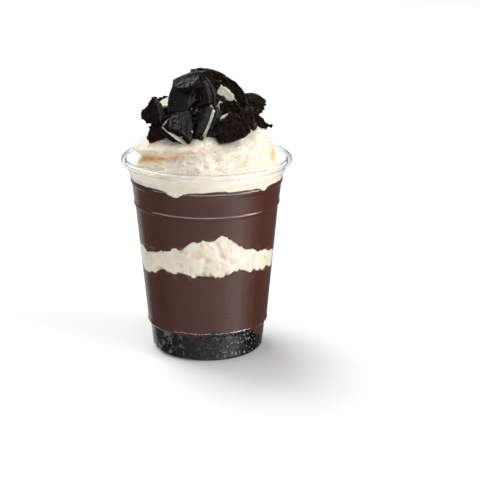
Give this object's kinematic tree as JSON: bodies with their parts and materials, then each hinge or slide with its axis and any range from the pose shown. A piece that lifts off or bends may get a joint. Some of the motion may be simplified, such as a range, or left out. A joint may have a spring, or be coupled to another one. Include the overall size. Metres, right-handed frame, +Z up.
{
  "type": "cookie parfait",
  "caption": "Layered parfait in a clear flared cup: cookie crumbs, pudding, cream band, pudding, a piped cream swirl and broken sandwich cookies on top.",
  "frame": {"origin": "on the cup's axis, level with the ring that the foot stands on", "axes": "+Z up the cup's axis, -Y the side that is looked at, +X to that side's right"},
  "size_m": [0.092, 0.092, 0.1554],
  "materials": {
    "clear_plastic": "thin clear plastic, glossy, with moulded rings and a rolled rim",
    "cream": "whipped cream, warm white, soft satin",
    "pudding": "dark chocolate pudding, smooth, moist",
    "crumbs": "moist black cookie crumbs, coarse",
    "wafer": "black cocoa wafer, embossed face, rough break",
    "filling": "firm pale filling, matt"
  },
  "bodies": {
    "root": {"cookie_back_filling": "filling", "cookie_back_left_filling": "filling", "cookie_back_left_lower": "wafer", "cookie_back_left_upper": "wafer", "cookie_back_lower": "wafer", "cookie_back_right_filling": "filling", "cookie_back_right_lower": "wafer", "cookie_back_right_upper": "wafer", "cookie_back_upper": "wafer", "cookie_centre_filling": "filling", "cookie_centre_lower": "wafer", "cookie_centre_upper": "wafer", "cookie_front_left_filling": "filling", "cookie_front_left_lower": "wafer", "cookie_front_left_upper": "wafer", "cookie_front_right_filling": "filling", "cookie_front_right_lower": "wafer", "cookie_left_filling": "filling", "cookie_left_low": "wafer", "cookie_left_lower": "wafer", "cookie_left_lump": "wafer", "cookie_middle_filling": "filling", "cookie_middle_lower": "wafer", "cookie_middle_upper": "wafer", "cookie_open_back_filling": "filling", "cookie_open_back_lower": "wafer", "cookie_open_front": "wafer", "cookie_ridged": "wafer", "cookie_right_edge": "wafer", "cookie_right_lump": "wafer", "cookie_right_point": "wafer", "cookie_top_left": "wafer", "cookie_top_right": "wafer", "cookie_under": "wafer", "cream_band": "cream", "cream_swirl": "cream", "crumb_base": "crumbs", "cup": "clear_plastic", "pudding_lower": "pudding", "pudding_upper": "pudding"}
  },
  "joints": []
}
